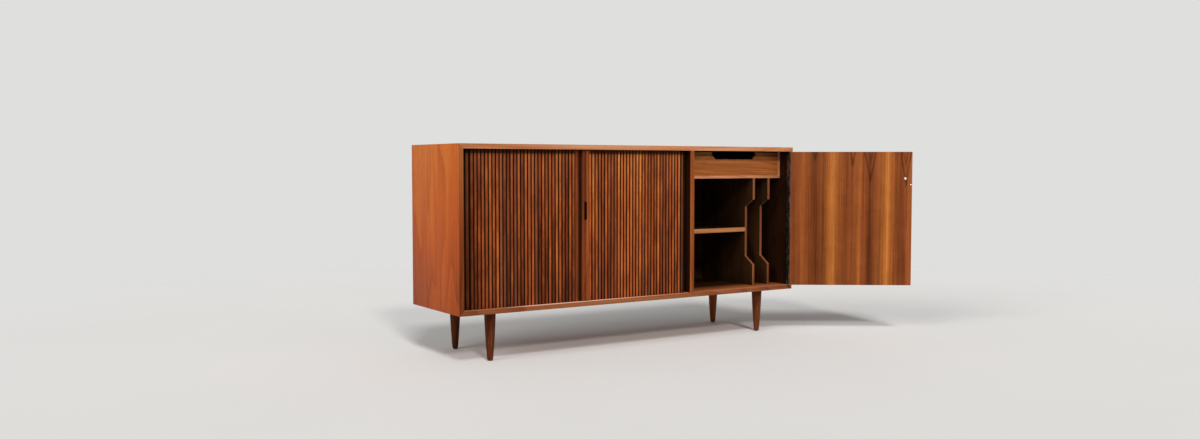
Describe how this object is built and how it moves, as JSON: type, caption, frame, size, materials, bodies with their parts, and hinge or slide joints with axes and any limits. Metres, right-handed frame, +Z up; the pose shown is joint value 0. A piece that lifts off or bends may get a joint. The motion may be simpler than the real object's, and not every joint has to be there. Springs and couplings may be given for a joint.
{
  "type": "tambour door cabinet",
  "caption": "Long low walnut credenza on turned legs: two sliding tambour curtains, and a hinged door over a drawer, a shelf and upright record slots.",
  "frame": {"origin": "on the floor, in the middle of the underside of the front left-hand glide", "axes": "+X to the right along the front, +Y from the front to the back, +Z up"},
  "size_m": [1.9802, 0.7307, 0.789],
  "materials": {
    "case_walnut": "satin oil",
    "tambour_walnut": "satin oil",
    "door_walnut": "satin oil",
    "drawer_wood": "satin",
    "plywood": "matt",
    "leg_walnut": "satin oil",
    "canvas": "coarse weave",
    "steel": "plated",
    "nylon": "matt"
  },
  "bodies": {
    "case": {"top_board": "case_walnut", "bottom_board": "case_walnut", "left_side": "case_walnut", "right_side": "case_walnut", "centre_divider": "case_walnut", "back_panel": "plywood", "false_back": "plywood", "left_liner": "plywood", "right_liner": "plywood", "tambour_shelf": "case_walnut", "tambour_shelf_pins": "steel", "tambour_left_tail_slats": "tambour_walnut", "tambour_left_tail_canvas": "canvas", "tambour_right_tail_slats": "tambour_walnut", "tambour_right_tail_canvas": "canvas", "drawer_shelf": "case_walnut", "drawer_shelf_lipping": "case_walnut", "drawer_guide_left": "drawer_wood", "drawer_guide_right": "drawer_wood", "drawer_stops": "drawer_wood", "record_board_left": "case_walnut", "record_board_right": "case_walnut", "short_shelf": "case_walnut", "short_shelf_pins": "steel", "hinge_case_leaf": "steel", "hinge_pin": "steel", "hinge_case_screws": "steel", "catch_strike": "steel", "leg_front_left": "leg_walnut", "leg_back_left": "leg_walnut", "leg_front_right": "leg_walnut", "leg_back_right": "leg_walnut", "hanger_bolts": "steel", "glides": "nylon"},
    "left_tambour": {"tambour_left_lead": "tambour_walnut", "tambour_left_slats": "tambour_walnut", "tambour_left_canvas": "canvas"},
    "right_tambour": {"tambour_right_lead": "tambour_walnut", "tambour_right_slats": "tambour_walnut", "tambour_right_canvas": "canvas"},
    "drawer": {"drawer_front": "case_walnut", "drawer_side_left": "drawer_wood", "drawer_side_right": "drawer_wood", "drawer_back": "drawer_wood", "drawer_bottom": "plywood"},
    "door": {"door_panel": "door_walnut", "hinge_door_leaf": "steel", "hinge_door_screws": "steel", "door_knob": "door_walnut", "knob_screw": "steel", "knob_nut": "steel", "catch_sleeve": "steel", "catch_screw": "steel"},
    "catch": {"catch_bullet": "steel"}
  },
  "joints": [
    {"name": "left_tambour_slide", "type": "slide", "parent": "case", "child": "left_tambour", "axis": [-1, 0, 0], "range_m": [0, 0.43], "deforming": ["tambour_left_slats", "tambour_left_canvas"]},
    {"name": "right_tambour_slide", "type": "slide", "parent": "case", "child": "right_tambour", "axis": [1, 0, 0], "range_m": [0, 0.435], "deforming": ["tambour_right_slats", "tambour_right_canvas"]},
    {"name": "drawer_slide", "type": "slide", "parent": "case", "child": "drawer", "axis": [0, -1, 0], "range_m": [0, 0.24]},
    {"name": "door_hinge", "type": "hinge", "parent": "case", "child": "door", "pos_m": [1.4123, -0.0614, 0.484], "axis": [0, 0, 1], "range_deg": [-144.7, 35.3]},
    {"name": "catch_press", "type": "slide", "parent": "door", "child": "catch", "axis": [0.8161, -0.5779, 0], "range_m": [-0.002, 0]}
  ]
}
